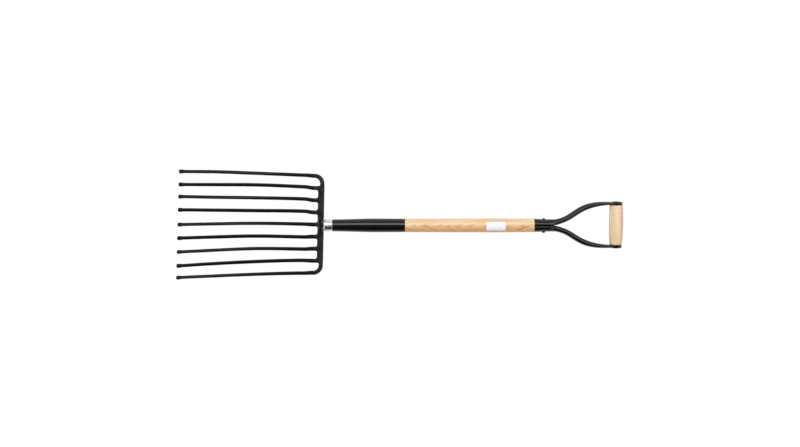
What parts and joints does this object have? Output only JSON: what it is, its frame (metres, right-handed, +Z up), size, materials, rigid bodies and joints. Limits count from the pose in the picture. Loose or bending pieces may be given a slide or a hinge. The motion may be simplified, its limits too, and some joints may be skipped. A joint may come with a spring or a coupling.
{
  "type": "pitchfork",
  "caption": "Pitchfork: button-tipped curved steel tines on a cross bridge, ferruled wooden shaft and riveted steel D handle with a wooden grip.",
  "frame": {"origin": "middle of the tool's footprint, on the flat ground that it lies on with the hollow side of the tines up", "axes": "+X along the handle towards the grip, so the tines point to -X; +Y towards tine_1; +Z up. The handle axis slopes down by about 2.2 degrees towards the grip"},
  "size_m": [1.1704, 0.2902, 0.0644],
  "materials": {
    "head_steel": "forged steel dipped in black lacquer, satin to glossy",
    "ferrule_zinc": "bright zinc plate with a fine mottle",
    "pin_steel": "plain steel pin, its ends under the lacquer",
    "shaft_ash": "clear varnished ash, the front dipped in black lacquer",
    "handle_steel": "pressed sheet steel, glossy black paint",
    "rivet_steel": "steel rivet under the same black paint",
    "grip_wood": "pale turned wood, clear satin varnish"
  },
  "bodies": {
    "root": {"tine_1": "head_steel", "tine_2": "head_steel", "tine_3": "head_steel", "tine_4": "head_steel", "tine_5": "head_steel", "tine_6": "head_steel", "tine_7": "head_steel", "tine_8": "head_steel", "tine_9": "head_steel", "bridge": "head_steel", "tang": "head_steel", "ferrule": "ferrule_zinc", "tang_pin": "pin_steel", "shaft": "shaft_ash", "handle_half_left": "handle_steel", "handle_half_right": "handle_steel", "socket_rivet": "rivet_steel", "grip": "grip_wood", "grip_rivet": "rivet_steel"}
  },
  "joints": []
}
